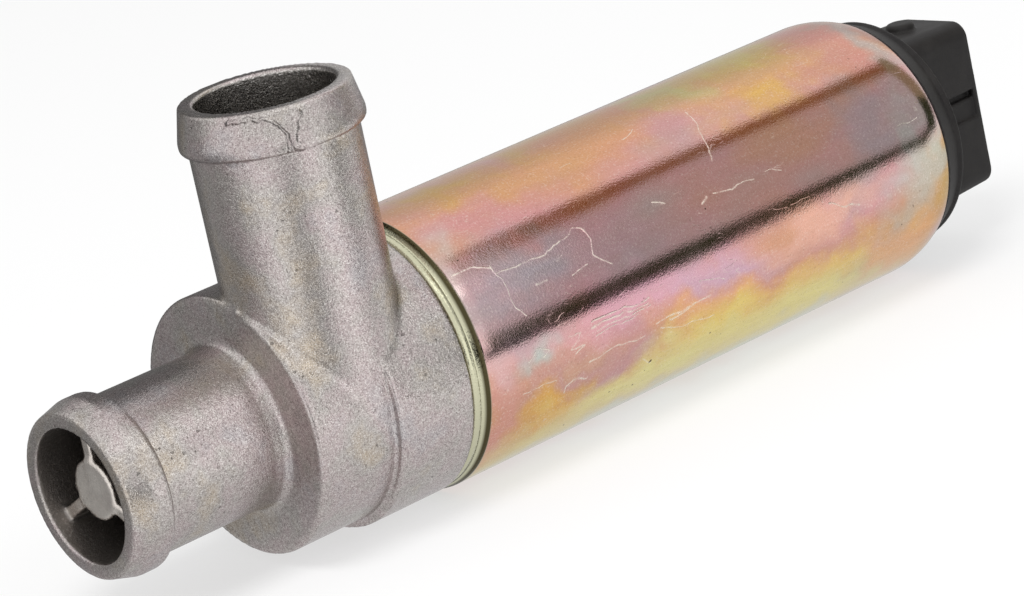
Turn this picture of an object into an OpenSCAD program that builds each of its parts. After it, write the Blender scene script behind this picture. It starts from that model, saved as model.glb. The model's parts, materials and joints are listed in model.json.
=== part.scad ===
/* [Steel can] */
// Outside diameter of the can
can_d = 42; // [41.6:0.2:44]
// Thickness of the can's wall
can_wall = 1; // [0.8:0.1:1.2]
// Where the can's rolled front edge starts, along the valve
can_front = 9.7; // [9.6:0.1:9.8]
// Where the can's rear edge meets the cap
can_rear = 109; // [108.5:0.5:110]

/* [Cast body] */
// Diameter of the front barrel, beside the axial port
front_barrel_d = 38.8; // [38:0.2:39.6]
// Diameter of the rear barrel, beside the can
rear_barrel_d = 41.4; // [40.6:0.2:41.6]
// Front face of the body, along the valve
body_front = -17.4; // [-19:0.2:-17]
// Step between the two barrels
barrel_step = -4; // [-6:0.5:-3]
// Rear face of the rear barrel, just before the can
barrel_rear = 9.4; // [9:0.1:9.4]
// Bore of the chamber behind the valve seat
chamber_d = 30; // [28:0.5:31]

/* [Ports] */
// Bore of the axial port
axial_bore_d = 20; // [18:0.5:20.5]
// Outside diameter of the axial port's tube
axial_tube_d = 24; // [23.6:0.2:25]
// Diameter over the axial port's hose bead
axial_bead_d = 26.4; // [25.8:0.2:27]
// How far the axial port reaches in front of the body's datum
axial_reach = 44.5; // [42:0.5:50]
// Bore of the radial port
radial_bore_d = 20.2; // [18:0.2:20.2]
// Outside diameter of the radial port's tube
radial_tube_d = 24.2; // [23.6:0.2:24.2]
// Diameter over the radial port's hose bead
radial_bead_d = 26.5; // [26.1:0.2:27.3]
// Height of the radial port above the valve's axis
radial_reach = 46.3; // [42:0.5:50]
// Place of the radial port's axis along the valve
radial_x = -5.1; // [-5.2:0.1:-4.4]
// How far the radial port's axis passes beside the valve's axis
radial_offset = 7.4; // [6:0.2:7.4]
// Thickness of the three spokes in the axial port
spoke_t = 1.8; // [1.4:0.1:2.4]

/* [Valve] */
// Diameter of the shaft
shaft_d = 4; // [3.6:0.2:4.4]
// Radial play of the shaft in its two bushes
shaft_play = 0.05; // [0.02:0.01:0.08]
// Diameter of the valve disc
poppet_d = 22.8; // [21:0.2:24]
// Diameter of the armature
armature_d = 15.8; // [15:0.1:15.8]
// How far the valve opens
travel = 4; // [2:0.5:4]

/* [Connector] */
// Width of the plug socket across the valve
socket_w = 15.2; // [14:0.2:16]
// Height of the plug socket
socket_h = 26.8; // [25:0.2:27.4]
// How far the plug socket's middle lies above the valve's axis
socket_lift = 1.3; // [0:0.1:1.6]
// How far the plug socket's middle lies beside the valve's axis
socket_side = 2.7; // [0:0.1:2.8]
// Turn of the plug socket about the valve's axis, in degrees
socket_turn = 1.5; // [0:0.5:3]
// Rear end of the plug socket, along the valve
socket_rear = 127.3; // [124:0.1:132]
// Wall of the plug socket
socket_wall = 1.9; // [1.8:0.1:2.2]

/* [Hidden] */
$fn = 96;
eps = 0.01;

// Radii from the diameters above
can_r = can_d / 2;
can_in = can_r - can_wall;
front_barrel_r = front_barrel_d / 2;
rear_barrel_r = rear_barrel_d / 2;
shaft_r = shaft_d / 2;
bush_bore_r = shaft_r + shaft_play;

// Where the can's straight wall starts and ends, and the frame's origin at its middle
wall_front = can_front + 2.6;
roll_start = can_rear - 5.5;
band_x = (wall_front + roll_start) / 2;

// The body's neck and spigot, which the can's front lip grips
neck_r = 18.9;
lip_r = neck_r + 0.15;
lip_back = 12.3;
spigot_r = can_in - 0.1;
spigot_front = 12.9;
body_rear = 17;

// The valve seat and its throat
seat_x = -15.6;
seat_r = 9.2;
throat_l = 1.8;
throat_chamfer = 0.8;

// Hose beads: a short true land, then a long taper towards the rim
bead_land = 1.2;
bead_taper = 0.95;
bead_round = 1.1;
rim_round = 1;
axial_bead_back = 6.2;
radial_bead_back = 7.4;

// The spider in the axial port
hub_r = 4.45;
hub_front = -42;
hub_rear = -31;
spoke_rear = -35.5;
bush_r = 3;
bush_wall_front = -39.5;

// The seal in the groove of the body's rear face
body_seal_r = 17.4;
body_seal_wire = 0.78;
groove_l = 1.6;

// The stack behind the body
plate_r = can_in - 0.1;
front_plate_t = 4;
tube_in = armature_d / 2 + 0.3;
tube_out = tube_in + 0.6;
tube_flange_r = 12.5;
tube_seal_r = tube_out + 0.85;
bobbin_front = body_rear + front_plate_t + 0.4;
bobbin_rear = 98.6;
bobbin_r = 19.4;
spool_r = tube_out + 1.5;
cheek_t = 2;
seal_room = 1.9;
rear_plate_x = 99.6;
rear_plate_t = 2.9;

// The moving parts at rest, with the valve closed
poppet_t = 2.4;
seal_t = 1.2;
poppet_x = seat_x + seal_t + 0.3;
armature_front = 30;
armature_rear = 62;
pole_front = armature_rear + travel + 0.5;
spring_front = 56;
spring_rear = 80;
spring_r = 4.2;
wire_r = 0.5;
spring_well_r = 5.4;
rear_bush_r = 3.4;
rear_bush_end = 88;
core_end_r = 6;
core_groove_x = pole_front + 14;
screw_r = 2.95;
shaft_front = -38.9;
shaft_rear = 86;
clip_t = 0.8;
clip_front = poppet_x - seal_t - clip_t - 0.1;
clip_groove_r = 1.6;
clip_r = 4.3;
clip_gap = 2.4;
boss_r = 3.4;
slot_w = 1.5;
poppet_boss_l = 7;

// The can's rolled rear corner
roll_drop = 1.2;
roll_r = (pow(can_rear - roll_start, 2) + pow(roll_drop, 2)) / (2 * roll_drop);

// The cap
cap_front = 102.7;
cap_flange_r = can_r - roll_drop;
cap_flange_back = 114.1;
cap_flange_back_r = 18;
cap_seal_x = 104.6;
cap_seal_r = 19.05;
cap_seal_wire = 0.78;
cap_groove_l = 1.8;
cap_hollow_r = 13;
socket_floor = 112;
socket_corner = 2.6;
socket_draft = 0.7;
flange_round = 0.7;
pocket_front = cap_flange_back;
pocket_rear = 126.2;
pocket_low = -1.9;
pocket_h = 4.4;
pocket_depth = 0.4;
slot_h = 1.2;
slot_depth = 1.2;
blade_room = 0.84;
blade_w = 6.3;
blade_t = 0.8;
blade_pitch = 10;
blade_front = 104;
blade_rear = 122.5;

// An arc as a list of points, from angle a0 to a1
function arc(cx, cy, r, a0, a1, n = 5) =
    [for (i = [0:n]) let (a = a0 + (a1 - a0) * i / n) [cx + r * cos(a), cy + r * sin(a)]];

// Places along the valve are counted from the body's datum, near the radial port. This moves
// them to the frame, whose origin is the middle of the can's straight wall.
module from_band() {
    translate([-band_x, 0, 0]) children();
}

// Turns a profile of [radius, place] points about the valve's axis
module turned(points, sides = 128) {
    rotate([0, 90, 0]) rotate_extrude($fn = sides) polygon(points);
}

// A ring about the valve's axis
module ring(x0, x1, r_in, r_out) {
    turned([[r_in, x0], [r_out, x0], [r_out, x1], [r_in, x1]]);
}

// A round rubber ring about the valve's axis
module o_ring(x, r, wire) {
    translate([x, 0, 0]) rotate([0, 90, 0])
        rotate_extrude($fn = 96) translate([r, 0]) circle(r = wire, $fn = 32);
}

// A drilled hole along the valve's axis
module bore_x(x0, x1, r) {
    translate([x0, 0, 0]) rotate([0, 90, 0]) cylinder(r = r, h = x1 - x0, $fn = 96);
}

// Outline of a hose port along its own axis, from its root to its rim:
// tube, bead land, taper and rounded rim
function port_outline(root, tip, tube_r, bead_r, bead_back) =
    let (land = tip - bead_back, taper_end_r = bead_r - bead_taper)
    concat(
        [[0, root], [tube_r, root], [tube_r, land]],
        arc(bead_r - bead_round, land + bead_round, bead_round, -80, 0, 4),
        [[bead_r, land + bead_round + bead_land]],
        arc(taper_end_r - rim_round, tip - rim_round, rim_round, 10, 90, 4),
        [[0, tip]]
    );

// The body turned about the valve's axis: front disc, barrels, neck and spigot
function barrel_outline() =
    let (tube_r = axial_tube_d / 2, foot = 1.6, edge = 0.9, soft = 0.8)
    concat(
        [[0, body_front - foot]],
        arc(tube_r + foot, body_front - foot, foot, 180, 90),
        arc(front_barrel_r - edge, body_front + edge, edge, -90, 0),
        arc(front_barrel_r + soft, barrel_step - soft, soft, 180, 90, 4),
        arc(rear_barrel_r - 0.4, barrel_step + 0.4, 0.4, -90, 0, 3),
        arc(rear_barrel_r - 0.4, barrel_rear - 0.4, 0.4, 0, 90, 3),
        [[neck_r, barrel_rear], [neck_r, spigot_front],
         [spigot_r, spigot_front], [spigot_r, body_rear], [0, body_rear]]
    );

// Moves a shape from the valve's axis to the radial port's axis
module at_radial_port() {
    translate([radial_x, -radial_offset, 0]) children();
}

// The spider that carries the shaft's front bush
module spider() {
    turned([[0, hub_front], each arc(hub_r - 0.6, hub_front + 0.6, 0.6, -90, 0, 3),
            [hub_r, hub_rear], [0, hub_rear]], 72);
    for (turn = [0:120:240])
        rotate([turn, 0, 0])
            translate([hub_front + 0.3, -spoke_t / 2, 0])
                cube([spoke_rear - hub_front, spoke_t, axial_bore_d / 2 + 0.6]);
}

module valve_body() {
    color("darkgray") from_band()
    difference() {
        union() {
            difference() {
                union() {
                    turned(barrel_outline());
                    rotate([0, -90, 0])
                        rotate_extrude($fn = 128)
                            polygon(port_outline(-body_front - 1, axial_reach, axial_tube_d / 2,
                                                 axial_bead_d / 2, axial_bead_back));
                    at_radial_port() rotate_extrude($fn = 128)
                        polygon(port_outline(0, radial_reach, radial_tube_d / 2,
                                             radial_bead_d / 2, radial_bead_back));
                }
                bore_x(-axial_reach - 1, seat_x - throat_l, axial_bore_d / 2);
                bore_x(-axial_reach - 1, seat_x + 1, seat_r);
                turned([[0, -axial_reach - eps], [axial_bore_d / 2 + 0.4, -axial_reach - eps],
                        [axial_bore_d / 2, -axial_reach + 0.4], [0, -axial_reach + 0.4]]);
                turned([[0, seat_x - throat_chamfer], [seat_r, seat_x - throat_chamfer],
                        [seat_r + throat_chamfer, seat_x], [0, seat_x]]);
                bore_x(seat_x, body_rear + 1, chamber_d / 2);
                at_radial_port() {
                    cylinder(r = radial_bore_d / 2, h = radial_reach + 1, $fn = 96);
                    translate([0, 0, radial_reach - 0.4])
                        cylinder(r1 = radial_bore_d / 2, r2 = radial_bore_d / 2 + 0.4 + eps,
                                 h = 0.4 + eps, $fn = 96);
                }
            }
            spider();
        }
        bore_x(bush_wall_front, hub_rear + 1, bush_r);
        ring(body_rear - groove_l, body_rear + 1, body_seal_r - groove_l / 2 - 0.1,
             body_seal_r + groove_l / 2 + 0.1);
    }
}

module front_bush() {
    color("peru") from_band() ring(bush_wall_front, hub_rear, bush_bore_r, bush_r);
}

module valve_shaft() {
    color("silver") from_band()
    difference() {
        turned([[0, shaft_front], [shaft_r - 0.5, shaft_front], [shaft_r, shaft_front + 0.5],
                [shaft_r, shaft_rear - 0.5], [shaft_r - 0.5, shaft_rear], [0, shaft_rear]]);
        ring(clip_front, clip_front + clip_t, clip_groove_r, shaft_r + 1);
    }
}

// The valve disc, dished at the back, with a boss that is pressed on the shaft
module valve_poppet() {
    rim = poppet_d / 2;
    back = poppet_x + poppet_t;
    boss_end = poppet_x + poppet_boss_l;
    color("gainsboro") from_band()
    turned([[shaft_r, poppet_x - seal_t], [boss_r, poppet_x - seal_t], [boss_r, poppet_x],
            [rim - 0.4, poppet_x], [rim, poppet_x + 0.4], [rim, back - 0.8],
            [rim - 0.8, back], [boss_r + 3.2, back], [boss_r + 1.2, back + 2],
            [boss_r + 0.8, boss_end], [shaft_r, boss_end]]);
}

module poppet_seal() {
    color("dimgray") from_band() ring(poppet_x - seal_t, poppet_x, boss_r, poppet_d / 2 - 0.6);
}

// A spring clip, open on one side, that holds the seal and disc to the shaft
module poppet_clip() {
    color("lightslategray") from_band()
    difference() {
        ring(clip_front, clip_front + clip_t, clip_groove_r, clip_r);
        translate([clip_front - 1, -clip_gap / 2, -clip_r - 1])
            cube([clip_t + 2, clip_gap, clip_r + 1]);
    }
}

module body_o_ring() {
    color("black") from_band() o_ring(body_rear - groove_l / 2, body_seal_r, body_seal_wire);
}

module front_flux_plate() {
    color("slategray") from_band() ring(body_rear, body_rear + front_plate_t, tube_out, plate_r);
}

// A thin drawn tube with a flange that the body and the plate clamp
module guide_tube() {
    color("khaki") from_band()
    turned([[tube_in, body_rear - 1.2], [tube_flange_r, body_rear - 1.2],
            [tube_flange_r, body_rear],
            [tube_out, body_rear], [tube_out, bobbin_rear + 0.4], [tube_in, bobbin_rear + 0.4]]);
}

module tube_seal() {
    color("black") from_band() o_ring(bobbin_front + 1.1, tube_seal_r, 0.8);
}

// The armature, pressed on the shaft, with two air slots and a well for the spring
module armature() {
    r = armature_d / 2;
    color("lightsteelblue") from_band()
    difference() {
        turned([[shaft_r, armature_front], [r - 0.8, armature_front], [r, armature_front + 0.8],
                [r, armature_rear - 0.8], [r - 0.8, armature_rear], [spring_well_r, armature_rear],
                [spring_well_r, spring_front], [shaft_r, spring_front]]);
        for (side = [-1, 1])
            translate([armature_front - 1, side * r - slot_w / 2, -slot_w / 2])
                cube([armature_rear - armature_front + 2, slot_w, slot_w]);
    }
}

// One ring of the spring's wire at angle a, t being the place along the spring
function wire_ring(a, x, sides) =
    [for (k = [0:sides - 1]) let (b = 360 * k / sides, q = spring_r + wire_r * cos(b))
        [x + wire_r * sin(b), -q * sin(a), q * cos(a)]];

// A closed-end compression spring, swept along its helix
module return_spring() {
    turns = 8;
    steps = 14;
    sides = 8;
    closed = 0.9;
    last = turns * steps;
    x0 = spring_front + wire_r + 0.05;
    x1 = spring_rear - wire_r - 0.05;
    pitch_turns = turns - 2 * closed;
    place = function (t)
        t < closed ? t * 2.1 * wire_r
        : t > turns - closed ? (x1 - x0) - (turns - t) * 2.1 * wire_r
        : closed * 2.1 * wire_r
            + (t - closed) / pitch_turns * ((x1 - x0) - 2 * closed * 2.1 * wire_r);
    points = [for (i = [0:last]) let (t = i / steps)
        each wire_ring(360 * t, x0 + place(t), sides)];
    walls = [for (i = [0:last - 1], k = [0:sides - 1]) let (n = (k + 1) % sides)
        [i * sides + k, (i + 1) * sides + k, (i + 1) * sides + n, i * sides + n]];
    front_end = [for (k = [0:sides - 1]) k];
    rear_end = [for (k = [sides - 1:-1:0]) last * sides + k];
    color("silver") from_band()
    polyhedron(points, concat(walls, [front_end, rear_end]), convexity = 10);
}

// The fixed core, with a well for the spring, a seat for the bush and a threaded end
module pole_core() {
    r = tube_in - 0.05;
    color("slategray") from_band()
    difference() {
        turned([[spring_well_r, pole_front], [r - 1, pole_front], [r, pole_front + 1],
                [r, rear_plate_x], [core_end_r, rear_plate_x],
                [core_end_r, rear_plate_x + rear_plate_t], [screw_r + 0.05, rear_plate_x + rear_plate_t],
                [screw_r + 0.05, rear_bush_end], [rear_bush_r, rear_bush_end],
                [rear_bush_r, spring_rear], [spring_well_r, spring_rear]]);
        ring(core_groove_x, core_groove_x + 1.4, r - 0.6, r + 1);
    }
}

module rear_bush() {
    color("peru") from_band() ring(spring_rear, rear_bush_end, bush_bore_r, rear_bush_r);
}

// The set screw that stops the shaft, with a hexagonal socket
module stop_screw() {
    screw_front = shaft_rear + travel + 0.5;
    screw_rear = rear_plate_x + rear_plate_t - 0.6;
    hex_depth = 3;
    color("darkslategray") from_band()
    difference() {
        turned([[0, screw_front], [screw_r - 0.75, screw_front], [screw_r, screw_front + 0.8],
                [screw_r, screw_rear - 0.4], [screw_r - 0.4, screw_rear], [0, screw_rear]]);
        translate([screw_rear - hex_depth, 0, 0]) rotate([0, 90, 0])
            cylinder(r = 1.7, h = hex_depth + 1, $fn = 6);
    }
}

// The spool, with a seat for the tube's seal in its front cheek
module coil_bobbin() {
    color("ivory") from_band()
    turned([[tube_out + 1.7, bobbin_front], [bobbin_r, bobbin_front],
            [bobbin_r, bobbin_front + cheek_t], [spool_r, bobbin_front + cheek_t],
            [spool_r, bobbin_rear - cheek_t], [bobbin_r, bobbin_rear - cheek_t],
            [bobbin_r, bobbin_rear], [tube_out + 0.1, bobbin_rear],
            [tube_out + 0.1, bobbin_front + seal_room], [tube_out + 1.7, bobbin_front + seal_room]]);
}

module coil_winding() {
    color("sienna") from_band()
    ring(bobbin_front + cheek_t + 0.1, bobbin_rear - cheek_t - 0.1, spool_r + eps, bobbin_r - 2.4);
}

// A coned spring washer that takes up the play behind the spool
module disc_spring() {
    spring_in = 12;
    spring_out = 18.6;
    cone = 0.4;
    sheet = 0.5;
    color("silver") from_band()
    turned([[spring_in, bobbin_rear], [spring_out, bobbin_rear + cone],
            [spring_out, bobbin_rear + cone + sheet], [spring_in, bobbin_rear + sheet]]);
}

module rear_flux_plate() {
    lead_hole = 4;
    lead_spread = 12;
    color("slategray") from_band()
    difference() {
        ring(rear_plate_x, rear_plate_x + rear_plate_t, core_end_r, plate_r);
        for (side = [-1, 1])
            translate([rear_plate_x - 1, -lead_hole / 2, side * lead_spread - lead_hole / 2])
                cube([rear_plate_t + 2, lead_hole, lead_hole]);
    }
}

// The drawn can: rolled front lip with a fine line round it, straight wall, rolled rear corner
module can() {
    cx = can_r - roll_r;
    sweep = acos((can_r - roll_drop - cx) / roll_r);
    edge = 0.25;
    color("goldenrod") from_band()
    turned(concat(
        [[lip_r, can_front], [20.1, can_front], [20.35, can_front + edge],
         [20.5, can_front + 1.1], [20.32, can_front + 1.25], [20.55, can_front + 1.4],
         [20.75, can_front + 2], [can_r - 0.05, can_front + 2.2], [can_r, wall_front]],
        arc(cx, roll_start, roll_r, 0, sweep, 6),
        [for (p = arc(cx, roll_start, roll_r - can_wall, sweep, 0, 6))
            [p[0], min(p[1], can_rear)]],
        [[can_in, spigot_front - 0.1], [lip_r, lip_back]]
    ));
}

module cap_seal() {
    color("black") from_band() o_ring(cap_seal_x, cap_seal_r, cap_seal_wire);
}

// One layer of the plug socket: an outline with rounded corners, shrunk by inset
module socket_layer(x, inset, corner) {
    hw = socket_w / 2 - inset - corner;
    hh = socket_h / 2 - inset - corner;
    for (sy = [-1, 1], sz = [-1, 1])
        translate([x, sy * hw, sz * hh])
            rotate([0, 90, 0]) cylinder(r = corner, h = 0.1, $fn = 32);
}

module socket_shell() {
    hull() {
        socket_layer(socket_floor - 2, -socket_draft, socket_corner);
        socket_layer(socket_rear - 1, 0, socket_corner);
        socket_layer(socket_rear - 0.5, 0.15, socket_corner - 0.15);
        socket_layer(socket_rear - 0.1, 0.6, socket_corner - 0.6);
    }
}

module socket_hollow() {
    hull() {
        socket_layer(socket_floor, socket_wall + 0.2, 1);
        socket_layer(socket_rear + 0.1, socket_wall, 1.2);
    }
}

// The latch lug on the short side, a low button with sloped sides
module latch_lug() {
    lug_x = 120.4;
    lug_r = 2.3;
    lug_h = 1.6;
    base = socket_h / 2 - 0.3;
    turn_up = [[0, base], [lug_r + 0.1, base], [lug_r - 0.1, base + lug_h - 0.4],
               [lug_r - 0.7, base + 0.3 + lug_h], [0, base + 0.3 + lug_h]];
    translate([lug_x, 0, 0]) rotate_extrude($fn = 64) polygon(turn_up);
}

// Moves a shape to the plug socket's own middle and turn
module at_socket() {
    translate([0, -socket_side, socket_lift]) rotate([-socket_turn, 0, 0]) children();
}

module connector_cap() {
    color("#303030") from_band()
    difference() {
        union() {
            turned(concat(
                [[0, cap_front], [can_in - 0.25, cap_front], [can_in - 0.25, cap_seal_x + 1],
                 [can_in - 1.5, can_rear], [cap_flange_r, can_rear]],
                arc(cap_flange_back_r - flange_round, cap_flange_back - flange_round,
                    flange_round, 20, 90, 4),
                [[0, cap_flange_back]]
            ));
            at_socket() {
                socket_shell();
                latch_lug();
            }
        }
        at_socket() {
            socket_hollow();
            for (side = [-1, 1]) {
                translate([pocket_front, side * socket_w / 2 - pocket_depth, pocket_low])
                    cube([pocket_rear - pocket_front, 2 * pocket_depth, pocket_h]);
                translate([pocket_front, side * socket_w / 2 - slot_depth,
                           pocket_low + pocket_h - slot_h])
                    cube([pocket_rear - pocket_front, 2 * slot_depth, slot_h]);
                translate([blade_front, -blade_room / 2, side * blade_pitch / 2 - blade_w / 2])
                    cube([socket_floor - blade_front + 1, blade_room, blade_w + 0.04]);
            }
        }
        ring(cap_seal_x - cap_groove_l / 2, cap_seal_x + cap_groove_l / 2,
             cap_seal_r - cap_seal_wire - 0.05, can_r);
        bore_x(cap_front - 1, blade_front, cap_hollow_r);
    }
}

// A flat blade with a tapered tip, and a narrow tail for the winding's wire
module terminal(side) {
    w = blade_w / 2;
    color("gold") from_band()
    at_socket()
        translate([0, blade_t / 2, side * blade_pitch / 2 + 0.02]) rotate([90, 0, 0])
            linear_extrude(height = blade_t)
                polygon([[blade_front - 0.9, -1.2], [blade_front, -1.2], [blade_front, -w],
                         [blade_rear - 1.6, -w], [blade_rear, -w + 1.2], [blade_rear, w - 1.2],
                         [blade_rear - 1.6, w], [blade_front, w], [blade_front, 1.2],
                         [blade_front - 0.9, 1.2]]);
}

module terminal_upper() { terminal(1); }

module terminal_lower() { terminal(-1); }

valve_body();
front_bush();
valve_shaft();
valve_poppet();
poppet_seal();
poppet_clip();
body_o_ring();
front_flux_plate();
guide_tube();
tube_seal();
armature();
return_spring();
pole_core();
rear_bush();
stop_screw();
coil_bobbin();
coil_winding();
disc_spring();
rear_flux_plate();
can();
cap_seal();
connector_cap();
terminal_upper();
terminal_lower();
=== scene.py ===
import json
import math

import bpy
import numpy as np
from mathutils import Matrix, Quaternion, Vector


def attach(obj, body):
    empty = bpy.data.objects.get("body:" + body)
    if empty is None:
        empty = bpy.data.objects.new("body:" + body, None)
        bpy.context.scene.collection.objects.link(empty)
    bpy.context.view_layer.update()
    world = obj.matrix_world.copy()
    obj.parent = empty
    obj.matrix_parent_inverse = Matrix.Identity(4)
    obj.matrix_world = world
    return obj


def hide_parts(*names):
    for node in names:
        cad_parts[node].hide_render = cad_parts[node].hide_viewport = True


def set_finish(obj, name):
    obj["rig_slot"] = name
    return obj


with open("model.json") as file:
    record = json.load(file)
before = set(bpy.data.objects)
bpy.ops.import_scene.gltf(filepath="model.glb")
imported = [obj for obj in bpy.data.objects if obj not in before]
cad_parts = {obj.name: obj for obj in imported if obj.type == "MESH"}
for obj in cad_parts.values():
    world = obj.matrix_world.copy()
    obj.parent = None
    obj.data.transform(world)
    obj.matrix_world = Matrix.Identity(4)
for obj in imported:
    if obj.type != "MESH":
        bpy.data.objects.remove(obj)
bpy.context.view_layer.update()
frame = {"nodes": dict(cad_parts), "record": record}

# Millimetres to metres
MM = 0.001

# Places along the valve are counted from the body's datum, as in the part's source.
# The frame's origin, the middle of the can's straight wall, lies this far behind it.
BAND_X = 57.9

# Steel can
CAN_R = 21.0
CAN_WALL = 1.0
CAN_FRONT = 9.7
CAN_REAR = 109.0
CAN_SIDES = 256
ROLL_START = 103.5
ROLL_DROP = 1.2

# Rolled front lip with a line round it: radius, and place behind the can's front
LIP = [(19.05, 0.3), (19.2, 0.0), (20.1, 0.0), (20.35, 0.25), (20.5, 1.1), (20.32, 1.25),
       (20.55, 1.4), (20.75, 2.0), (20.95, 2.2), (CAN_R, 2.6)]

# Cast body
BODY_FRONT = -17.4
BARREL_STEP = -4.0
BARREL_REAR = 9.4
BODY_REAR = 17.0
FRONT_BARREL_R = 19.4
REAR_BARREL_R = 20.7
NECK_R = 18.9
SPIGOT_FRONT = 12.9
SPIGOT_R = 19.9
SEAT_X = -15.6
THROAT_L = 1.8
SEAT_R = 9.2
CHAMBER_R = 15.0
CASTING_STEP = 0.44

# Hose ports: reach, tube, bead, bore, and how far the bead's back and crest lie behind the rim
AXIAL_PORT = dict(reach=44.5, tube=12.0, bead=13.2, bore=10.0, back=6.6, crest=3.7)
RADIAL_PORT = dict(reach=46.3, tube=12.1, bead=13.25, bore=10.1, back=6.4, crest=4.9)
BEAD_ROUND = 0.8
RIM_ROUND = 0.4
RIM_DROP = 0.95

# The radial port's axis, beside the valve's axis
RADIAL_X = -5.1
RADIAL_Y = -7.4

# Flash left at the front of the radial port's foot
NICK = (-17.0, -7.0, 17.9)
NICK_R = 0.55

# Spider in the axial port
HUB_R = 4.45
HUB_FRONT = -42.0
HUB_REAR = -31.0
SPOKE_BEHIND_HUB = 0.25
SPOKE_REAR = -35.5
SPOKE_T = 1.8
SPOKE_SINK = 0.6
SPOKE_ROUND = 0.3
BUSH_R = 3.0
BUSH_FRONT = -39.5

# Fillets between forms, the softness of the bores' edges, a place that lies well past the
# casting, and the room that its skin gets round it
FILLET = 0.5
STUB_FILLET = 0.4
SPOKE_FILLET = 0.8
BORE_EDGE = 0.25
PAST = 60
MARGIN = 0.7

# Cap and plug socket
SOCKET_W = 15.2
SOCKET_H = 26.8
SOCKET_LIFT = 1.3
SOCKET_SIDE = 2.7
SOCKET_TURN = math.radians(1.5)
SOCKET_REAR = 127.3
SOCKET_FLOOR = 112.0
SOCKET_WALL = 1.9
SOCKET_DRAFT = 0.7
SOCKET_CORNER = 2.6
SOCKET_MOUTH_CORNER = 1.1
SOCKET_MOUTH_EDGE = 0.35
PLUG_FRONT = 103.2
PLUG_R = 18.1
FLANGE_R = 19.8
FLANGE_BACK = 114.1
FLANGE_BACK_R = 18.0
RIDGE_R = 0.5
LUG_X = 120.4
LUG_R = 2.3
LUG_H = 1.6
LUG_ROUND = 0.7
LUG_FILLET = 0.4
POCKET_FRONT = 114.3
POCKET_REAR = 126.2
POCKET_UP = 0.3
POCKET_H = 4.4
POCKET_DEPTH = 0.4
SLOT_H = 1.2
SLOT_DEPTH = 1.2
POCKET_ROUND = 0.2
CAP_STEP = 0.36
CAP_MARGIN = 0.8

# Flow marks on the radial port's bead: distance round the bead from its -Y side and height of
# their points, and their half width
FLOW_MARKS = [
    ([(-14.0, 45.9), (-10.6, 46.0), (-7.8, 45.6), (-6.5, 44.5), (-5.7, 43.1), (-5.8, 40.6)], 0.5),
    ([(-3.1, 45.6), (-4.1, 44.7), (-4.9, 41.3), (-3.9, 40.2), (-2.2, 40.2)], 0.6),
]

# Clouds in the plating: place along and round the can, half sizes, strength, colour.
# Distance round the can counts from the top towards -Y.
ZINC_CLOUDS = [
    (22, 2, 9, 6, 0.9, (214, 172, 84)),
    (40, 1, 5, 4, 0.8, (212, 180, 92)),
    (34, 6, 14, 4, 0.7, (214, 158, 120)),
    (24, 12, 16, 4, 0.85, (212, 152, 150)),
    (50, 6, 12, 8, 0.8, (216, 158, 122)),
    (62, 9, 5, 4, 0.7, (204, 154, 156)),
    (69, 0, 4, 7, 0.9, (200, 190, 128)),
    (86, -2, 14, 4, 0.9, (214, 196, 112)),
    (84, 5, 10, 4, 0.7, (210, 166, 122)),
    (80, 12, 10, 4, 0.9, (226, 182, 94)),
    (97, 11, 8, 5, 0.8, (208, 150, 142)),
    (100, 2, 6, 8, 0.9, (216, 150, 142)),
    (105, 10, 3, 12, 0.8, (186, 178, 172)),
    (12, 22, 4, 9, 0.9, (208, 198, 192)),
    (25, 22, 9, 5, 0.8, (172, 166, 174)),
    (44, 25, 14, 5, 0.7, (196, 156, 164)),
    (74, 22, 24, 7, 0.6, (206, 160, 142)),
    (96, 22, 6, 5, 0.7, (180, 168, 174)),
    (20, 31, 8, 5, 0.8, (196, 172, 176)),
    (12, 33, 4, 5, 0.8, (228, 190, 190)),
    (42, 34, 20, 4, 0.9, (226, 172, 186)),
    (62, 35, 14, 3, 0.7, (208, 176, 196)),
    (80, 33, 12, 3, 0.9, (236, 182, 162)),
    (22, 35, 4, 2.5, 0.7, (184, 208, 200)),
    (30, 40, 16, 3, 0.8, (206, 156, 164)),
    (12, 42, 4, 8, 0.8, (218, 156, 146)),
    (26, 44, 9, 3, 0.9, (232, 176, 92)),
    (38, 43, 4, 3, 0.8, (200, 152, 170)),
    (58, 40, 16, 3, 0.8, (240, 178, 132)),
    (62, 44, 16, 4, 1.0, (244, 208, 114)),
    (85, 43, 14, 4, 0.9, (240, 200, 120)),
    (48, 49, 26, 5, 1.0, (240, 230, 158)),
    (77, 50, 26, 6, 1.0, (242, 228, 148)),
    (100, 46, 5, 8, 0.8, (242, 182, 130)),
    (100, 36, 5, 5, 0.6, (190, 200, 196)),
    (103, 30, 3, 6, 0.6, (190, 210, 204)),
    (26, 52, 14, 5, 0.9, (232, 214, 140)),
    (60, 56, 46, 3, 0.8, (222, 236, 206)),
]

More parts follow.
